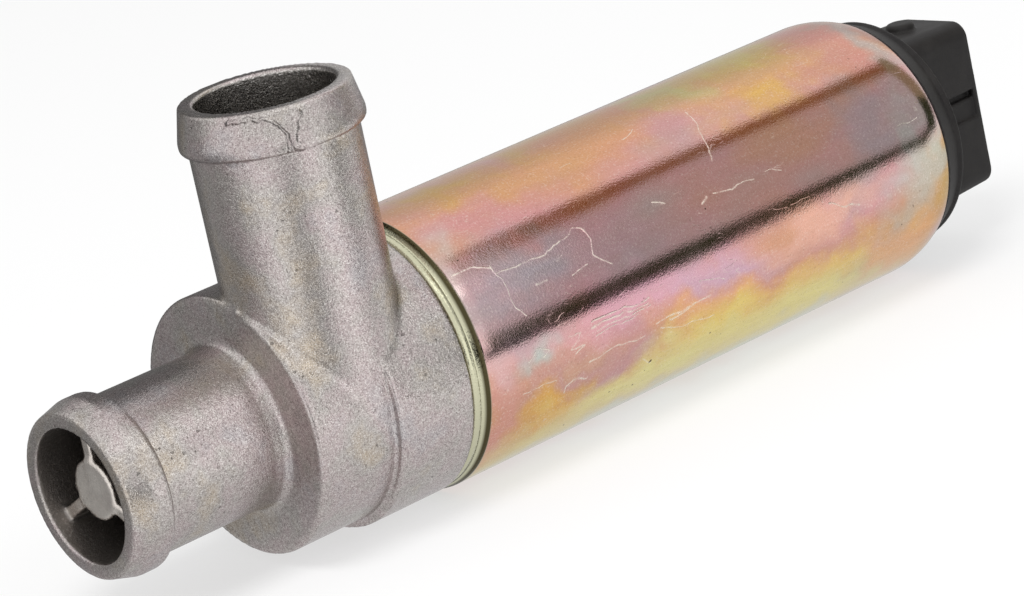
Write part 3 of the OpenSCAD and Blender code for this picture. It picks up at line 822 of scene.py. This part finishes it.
def cast_aluminium():
    """Blasted die casting: sparkling grain, warm and cool clouds, a darker axial bore, flow marks.
    """
    paint = Paint("cast_aluminium", Metallic=1.0)
    clouds = paint.noise(9, 3, 0.6)
    fine = paint.noise(0.42, 3, 0.7)
    grit = paint.noise(0.17, 1, 0.5)
    colour = paint.ramp(clouds, (0.3, tone(184, 178, 180)), (0.42, tone(188, 174, 174)),
                        (0.55, tone(182, 176, 172)), (0.7, tone(194, 180, 162)))
    # Light and dark grains of two sizes
    colour = paint.mix(paint.remap(fine, 0.5, 0.75, 0.0, 0.6), colour, tone(222, 216, 211))
    colour = paint.mix(paint.remap(fine, 0.5, 0.25, 0.0, 0.6), colour, tone(128, 120, 117))
    colour = paint.mix(paint.remap(grit, 0.55, 0.75, 0.0, 0.8), colour, tone(240, 236, 232))
    colour = paint.mix(paint.remap(grit, 0.42, 0.26, 0.0, 0.8), colour, tone(98, 91, 87))
    # Small pits in patches
    pits = paint.all_of(paint.remap(paint.noise(0.9, 1, 0.5), 0.30, 0.24),
                        paint.remap(paint.noise(8, 1, 0.5), 0.56, 0.62))
    colour = paint.mix(paint.math("MULTIPLY", pits, 0.5), colour, tone(66, 61, 58))
    # Bore walls: darker on the axial bore's wall, with more light grain on the radial bore's wall;
    # and a stained spider
    port_place = paint.vector("SUBTRACT", paint.place, (RADIAL_X, RADIAL_Y, 0))
    port_r = paint.vector("LENGTH", paint.vector("MULTIPLY", port_place, (1, 1, 0)))
    in_axial, in_radial = bore_walls(paint, port_r)
    bore_wall_colour = paint.mix(paint.remap(fine, 0.55, 0.8), tone(138, 132, 128), tone(206, 202, 197))
    colour = paint.mix(in_axial, colour, bore_wall_colour)
    bore_wall_colour = paint.mix(paint.remap(fine, 0.45, 0.7), tone(166, 162, 158), tone(246, 243, 238))
    colour = paint.mix(in_radial, colour, bore_wall_colour)
    bore = AXIAL_PORT["bore"]
    spider = paint.all_of(paint.remap(paint.radius, bore - 0.1, bore - 0.4),
                          paint.remap(paint.x, HUB_FRONT + 9, HUB_FRONT + 6))
    stain = paint.mix(paint.remap(clouds, 0.35, 0.65), tone(214, 206, 198), tone(252, 246, 238))
    stain = paint.mix(paint.remap(fine, 0.45, 0.3, 0.0, 0.5), stain, tone(170, 162, 156))
    colour = paint.mix(paint.math("MULTIPLY", spider, 0.85), colour, stain)
    rough = paint.math("ADD", paint.remap(fine, 0.2, 0.8, 0.30, 0.19),
                       paint.math("MULTIPLY", in_axial, 0.18))
    normal = paint.bump(paint.noise(3.5, 2, 0.5), 0.08)
    normal = paint.bump(fine, 0.06, normal)
    normal = paint.bump(paint.math("SUBTRACT", 1.0, pits), 0.10, normal)
    normal = paint.bump(grit, 0.03, normal)
    normal = paint.bump(flow_marks(paint, port_r), 0.32, normal)
    return paint.finish(colour, rough, normal)


def interference_colours(paint, flat, small):
    """The plating's clouds of colour, pulled out of shape by two noises, over a slow change."""
    warped = paint.vector("MULTIPLY_ADD", paint.drift(14, 3.0, 0.55), (24, 17, 0), flat)
    warped = paint.vector("MULTIPLY_ADD", small, (9, 7, 0), warped)
    warped = paint.vector("SUBTRACT", warped, (16.5, 12, 0))
    phase = paint.noise(16, 2, 0.5, stretch=(2.2, 1, 1))
    colour = paint.ramp(phase, (0.30, tone(210, 172, 94)), (0.44, tone(216, 160, 126)),
                        (0.56, tone(214, 160, 162)), (0.70, tone(184, 172, 170)))
    for x, around, half_x, half_around, strength, shade in ZINC_CLOUDS:
        away = paint.vector("MULTIPLY", paint.vector("SUBTRACT", warped, (x, around, 0)),
                            (1 / half_x, 1 / half_around, 0))
        amount = paint.remap(paint.vector("LENGTH", away), 1.7, 0.0, 0.0, strength, smooth=True)
        colour = paint.mix(amount, colour, tone(*shade))
    return colour


def can_scratches(paint, flat, small):
    """1 on the scratches, broken up and shaken a little, and less on hairlines in patches."""
    shaken = paint.vector("MULTIPLY_ADD", small, (2.4, 2.4, 0), flat)
    shaken = paint.vector("SUBTRACT", shaken, (1.2, 1.2, 0))
    broken = paint.remap(paint.noise(0.9, 2, 0.6), 0.36, 0.58, 0.25, 0.85)
    scratch = paint.all_of(paint.strokes(shaken, SCRATCHES, SCRATCH_WIDEN), broken)
    ridge = paint.noise(5.5, 3, 0.55, stretch=(2.6, 1, 1))
    ridge = paint.math("ABSOLUTE", paint.math("SUBTRACT", ridge, 0.5))
    hair = paint.all_of(paint.remap(ridge, 0.006, 0.001),
                        paint.remap(paint.noise(11, 2, 0.5), 0.52, 0.62),
                        paint.remap(paint.noise(2.2, 2, 0.5), 0.5, 0.6))
    return paint.math("MAXIMUM", scratch, paint.math("MULTIPLY", hair, 0.35))


def yellow_zinc():
    """Bright plating with drifting interference colours, hairline scratches and pale scuffs."""
    paint = Paint("yellow_zinc", Metallic=1.0)
    flat = paint.join(paint.x, paint.around)
    small = paint.drift(4.5, 2.0, 0.5)
    colour = interference_colours(paint, flat, small)
    # Streaks along the wall, and light and dark grain
    streaks = paint.noise(1.1, 3, 0.6, stretch=(5, 1, 1))
    colour = paint.mix(paint.remap(streaks, 0.35, 0.65, 0.0, 0.10), colour, tone(150, 118, 84))
    grain = paint.noise(0.3, 2, 0.6)
    colour = paint.mix(paint.remap(grain, 0.55, 0.75, 0.0, 0.35), colour, tone(250, 236, 226))
    colour = paint.mix(paint.remap(grain, 0.40, 0.25, 0.0, 0.35), colour, tone(120, 100, 80))
    # Scratches, less metallic than the plating, and small pits in patches
    scratch = can_scratches(paint, flat, small)
    colour = paint.mix(paint.math("MULTIPLY", scratch, 0.85), colour, tone(228, 222, 206))
    metal = paint.math("SUBTRACT", 1.0, paint.math("MULTIPLY", scratch, 0.6))
    paint.feed(paint.shader.inputs["Metallic"], metal)
    pits = paint.all_of(paint.remap(paint.noise(0.8, 0, 0.5), 0.20, 0.16),
                        paint.remap(paint.noise(9, 1, 0.5), 0.60, 0.64))
    colour = paint.mix(pits, colour, tone(84, 66, 50))
    # The rolled lip: pale, with a line round its edge painted dark olive, a painted dark
    # reflection on the lip's rounded shoulder
    lip_end = CAN_FRONT + LIP[-1][1]
    lip = paint.remap(paint.x, lip_end + 0.15, lip_end - 0.1)
    edge = paint.all_of(lip, paint.remap(paint.x, lip_end - 1.1, lip_end - 0.6))
    colour = paint.mix(lip, colour, paint.mix(edge, tone(206, 204, 176), tone(78, 72, 50)))
    rough = paint.math("ADD", paint.remap(paint.noise(7, 3, 0.6), 0.3, 0.7, 0.11, 0.17),
                       paint.math("MULTIPLY", scratch, 0.3))
    normal = paint.bump(paint.noise(2.6, 3, 0.5), 0.012)
    normal = paint.bump(grain, 0.016, normal)
    normal = paint.bump(scratch, 0.03, normal)
    normal = paint.bump(paint.all_of(lip, paint.noise(0.35, 2, 0.6)), 0.05, normal)
    return paint.finish(colour, rough, normal)


def moulded(name, base, worn, roughness, grain, depth, gloss):
    """Moulded plastic or rubber with a fine spark-eroded grain and rubbed patches."""
    paint = Paint(name, Specular_IOR_Level=gloss)
    fine = paint.noise(grain, 2, 0.6)
    clouds = paint.noise(7, 3, 0.6)
    colour = paint.mix(paint.remap(clouds, 0.4, 0.7), tone(*base), tone(*worn))
    colour = paint.mix(paint.remap(fine, 0.5, 0.8, 0.0, 0.25), colour, tone(*worn))
    rough = paint.remap(clouds, 0.3, 0.7, roughness, roughness + 0.12)
    normal = paint.bump(clouds, 0.05)
    return paint.finish(colour, rough, paint.bump(fine, depth, normal))


def worked_metal(name, base, tint, roughness, stretch, depth):
    """Machined, drawn or ground metal: fine lines along or round the valve, and stains."""
    paint = Paint(name, Metallic=1.0)
    lines = paint.noise(0.4, 3, 0.6, stretch=stretch)
    stains = paint.noise(5, 3, 0.6)
    colour = paint.mix(paint.remap(stains, 0.35, 0.7), tone(*base), tone(*tint))
    colour = paint.mix(paint.remap(lines, 0.35, 0.7, 0.0, 0.3), colour, tone(*tint))
    rough = paint.remap(lines, 0.3, 0.7, roughness, roughness + 0.12)
    return paint.finish(colour, rough, paint.bump(lines, depth))


def paint_nodes(made):
    """Gives every CAD node and every piece the material of its slot."""
    materials = {"cast_aluminium": cast_aluminium(), "yellow_zinc": yellow_zinc()}
    materials.update((name, moulded(name, *look)) for name, look in MOULDED.items())
    materials.update((name, worked_metal(name, *look)) for name, look in METALS.items())
    for part in frame["record"]["subparts"]:
        node = frame["nodes"][part["node"]]
        for holder in node.material_slots:
            holder.material = materials[part["material_slot"]]
    for item in made:
        item.data.materials.append(materials[item["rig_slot"]])


# Camera, floor and light

def make_camera():
    """The camera at the photo's viewing angle."""
    data = bpy.data.cameras.new("photo_camera")
    data.sensor_width = 36
    data.lens = CAMERA_LENS
    data.clip_start, data.clip_end = 0.01, 20
    camera = bpy.data.objects.new("photo_camera", data)
    camera.rotation_mode = "QUATERNION"
    camera.location = CAMERA_PLACE
    ahead = (-Vector(CAMERA_BACK)).to_track_quat("-Z", "Y")
    camera.rotation_quaternion = ahead @ Quaternion((0, 0, 1), CAMERA_ROLL)
    bpy.context.scene.collection.objects.link(camera)
    bpy.context.scene.camera = camera


def flat_stage(name, corners, faces, material):
    """Flat faces of the stage, which isn't part of the object. Corners are in millimetres."""
    mesh = bpy.data.meshes.new(name)
    mesh.from_pydata([Vector(corner) * MM for corner in corners], [], faces)
    mesh.materials.append(material)
    made = bpy.data.objects.new(name, mesh)
    bpy.context.scene.collection.objects.link(made)
    return made


def rectangle(left, right, low, high):
    """The corners of a rectangle, each a place across and a place up."""
    return [(left, low), (right, low), (right, high), (left, high)]


def background_rays(tree):
    """1 for rays from the camera, in reflections and through glass, 0 for the others."""
    rays = tree.nodes.new("ShaderNodeLightPath").outputs
    total = None
    for name in ("Is Camera Ray", "Is Glossy Ray", "Is Transmission Ray"):
        if total is None:
            total = rays[name]
            continue
        both = tree.nodes.new("ShaderNodeMath")
        both.operation = "MAXIMUM"
        tree.links.new(total, both.inputs[0])
        tree.links.new(rays[name], both.inputs[1])
        total = both.outputs[0]
    return total


def make_floor():
    """Pale floor that keeps a soft shadow and fades into the white background."""
    material = bpy.data.materials.new("pale_floor")
    material.use_nodes = True
    tree = material.node_tree
    nodes = tree.nodes
    shader, out = nodes["Principled BSDF"], nodes["Material Output"]
    shader.inputs["Base Color"].default_value = FLOOR_COLOUR
    shader.inputs["Roughness"].default_value = 0.9
    shader.inputs["Specular IOR Level"].default_value = 0
    glow = nodes.new("ShaderNodeEmission")
    both = nodes.new("ShaderNodeMixShader")
    share = nodes.new("ShaderNodeMath")
    share.operation = "MULTIPLY"
    share.inputs[1].default_value = FLOOR_GLOW
    tree.links.new(background_rays(tree), share.inputs[0])
    tree.links.new(share.outputs[0], both.inputs[0])
    tree.links.new(shader.outputs[0], both.inputs[1])
    tree.links.new(glow.outputs[0], both.inputs[2])
    tree.links.new(both.outputs[0], out.inputs["Surface"])
    sides = rectangle(-FLOOR_REACH, FLOOR_REACH, -FLOOR_REACH, FLOOR_REACH)
    flat_stage("floor", [(x, y, FLOOR_Z) for x, y in sides], [(0, 1, 2, 3)], material)


def card_material(name, colour):
    """A card's plain glow."""
    material = bpy.data.materials.new(name)
    material.use_nodes = True
    nodes = material.node_tree.nodes
    glow = nodes.new("ShaderNodeEmission")
    glow.inputs["Color"].default_value = (*colour, 1)
    material.node_tree.links.new(glow.outputs[0], nodes["Material Output"].inputs["Surface"])
    return material


def fading_material(name, axis, fade):
    """The glow of a card whose level changes along one axis, between two places."""
    material = card_material(name, (1, 1, 1))
    tree = material.node_tree
    place = tree.nodes.new("ShaderNodeTexCoord").outputs["Object"]
    split = tree.nodes.new("ShaderNodeSeparateXYZ")
    level = tree.nodes.new("ShaderNodeMapRange")
    level.interpolation_type = "SMOOTHSTEP"
    (start, near), (end, far) = fade
    for socket, value in (("From Min", start * MM), ("From Max", end * MM),
                          ("To Min", near), ("To Max", far)):
        level.inputs[socket].default_value = value
    tree.links.new(place, split.inputs[0])
    tree.links.new(split.outputs[axis], level.inputs["Value"])
    tree.links.new(level.outputs[0], tree.nodes["Emission"].inputs["Strength"])
    return material


def mirror_card(name, corners, faces, material):
    """A card that only reflections show."""
    card = flat_stage(name, corners, faces, material)
    card.visible_camera = card.visible_diffuse = card.visible_shadow = False
    card.visible_transmission = False


def plain_card(name, corners, level):
    """A card of one face and one grey level, which only reflections show."""
    mirror_card(name, corners, [tuple(range(len(corners)))], card_material(name, (level,) * 3))


def facing(azimuth):
    """The directions out and across for a card that stands clockwise from +Y by that angle."""
    turn = math.radians(azimuth)
    return (Vector((math.sin(turn), math.cos(turn), 0)),
            Vector((math.cos(turn), -math.sin(turn), 0)))


def make_can_cards():
    """The grey card that the can mirrors, its coloured border, and a bright card beside it."""
    out, side = facing(CARD_TURN)

    def spot(across, up):
        return out * CARD_GAP + side * across + Vector((0, 0, up))

    n = len(CARD_EDGE)
    corners = [spot(*outer) for outer, _ in CARD_EDGE] + [spot(*inner) for _, inner in CARD_EDGE]
    start = 0
    for count, colour in CARD_BORDER:
        name = "card_border_%d" % start
        border = [(i, i + 1, n + i + 1, n + i) for i in range(start, start + count)]
        mirror_card(name, corners, border, card_material(name, colour))
        start += count
    mirror_card("card_middle", corners, [tuple(range(n, 2 * n))],
                card_material("card_middle", (CARD_MIDDLE_LEVEL,) * 3))
    plain_card("card_glint", [spot(*corner) for corner in rectangle(*GLINT)], GLINT_LEVEL)


def make_floor_cards():
    """What reflections show of the floor: dark in front of the can, getting dark behind the
    valve, and a lighter strip further back."""
    low, high = FLOOR_Z + FLOOR_FALL_GAP, FLOOR_Z + FLOOR_GAP
    plain_card("card_foot", [(x, y, high) for x, y in FOOT], FOOT_LEVEL)
    plain_card("floor_far", [(x, y, high) for x, y in rectangle(*FLOOR_FAR)], FLOOR_FAR_LEVEL)
    mirror_card("floor_fall", [(x, y, low) for x, y in rectangle(*FLOOR_FALL_EDGES)],
                [(0, 1, 2, 3)], fading_material("floor_fall", "Y", FLOOR_FALL))


def make_port_cards():
    """Cards behind the valve, and those behind, beside and in front of the hose ports."""
    plain_card("card_back_dark", [(x, BACK_Y, z) for x, z in rectangle(*BACK_DARK)],
               BACK_DARK_LEVEL)
    mirror_card("card_back_light", [(x, BACK_Y, z) for x, z in rectangle(*BACK_LIGHT)],
                [(0, 1, 2, 3)], fading_material("card_back_light", "Z", BACK_FADE))
    plain_card("card_near", [(x - BAND_X, NEAR_CARD_Y, z) for x, z in NEAR_CARD], NEAR_CARD_LEVEL)
    (x, y, z), half, level = TAPER_CARD
    sides = rectangle(-half, half, -half, half)
    plain_card("card_taper", [(x + a, y, z + b) for a, b in sides], level)
    for name, azimuth, gap, half, low, high, level in STRIPS:
        out, side = facing(azimuth)
        middle = Vector((RADIAL_X - BAND_X, RADIAL_Y, 0)) + out * gap
        corners = [middle + side * a + Vector((0, 0, h))
                   for a, h in rectangle(-half, half, low, high)]
        plain_card(name, corners, level)


def make_light():
    """Plain white background light and two soft lamps, which reflections don't show."""
    world = bpy.data.worlds.new("studio")
    bpy.context.scene.world = world
    world.use_nodes = True
    tree = world.node_tree
    shade = tree.nodes["Background"]
    level = tree.nodes.new("ShaderNodeMapRange")
    level.inputs["To Min"].default_value = WORLD_LEVEL
    tree.links.new(background_rays(tree), level.inputs["Value"])
    shade.inputs["Color"].default_value = (1, 1, 1, 1)
    tree.links.new(level.outputs[0], shade.inputs["Strength"])
    for name, place, size, power in LAMPS:
        lamp = bpy.data.lights.new(name, "AREA")
        lamp.shape = "DISK"
        lamp.size = size
        lamp.energy = power
        made = bpy.data.objects.new(name, lamp)
        made.location = place
        made.rotation_euler = (-Vector(place)).to_track_quat("-Z", "Y").to_euler()
        made.visible_glossy = False
        bpy.context.scene.collection.objects.link(made)
    bpy.context.scene.view_settings.view_transform = "Standard"


make_camera()
made = [make_casting(), make_can(), make_cap()]
paint_nodes(made)
make_floor()
make_can_cards()
make_floor_cards()
make_port_cards()
make_light()
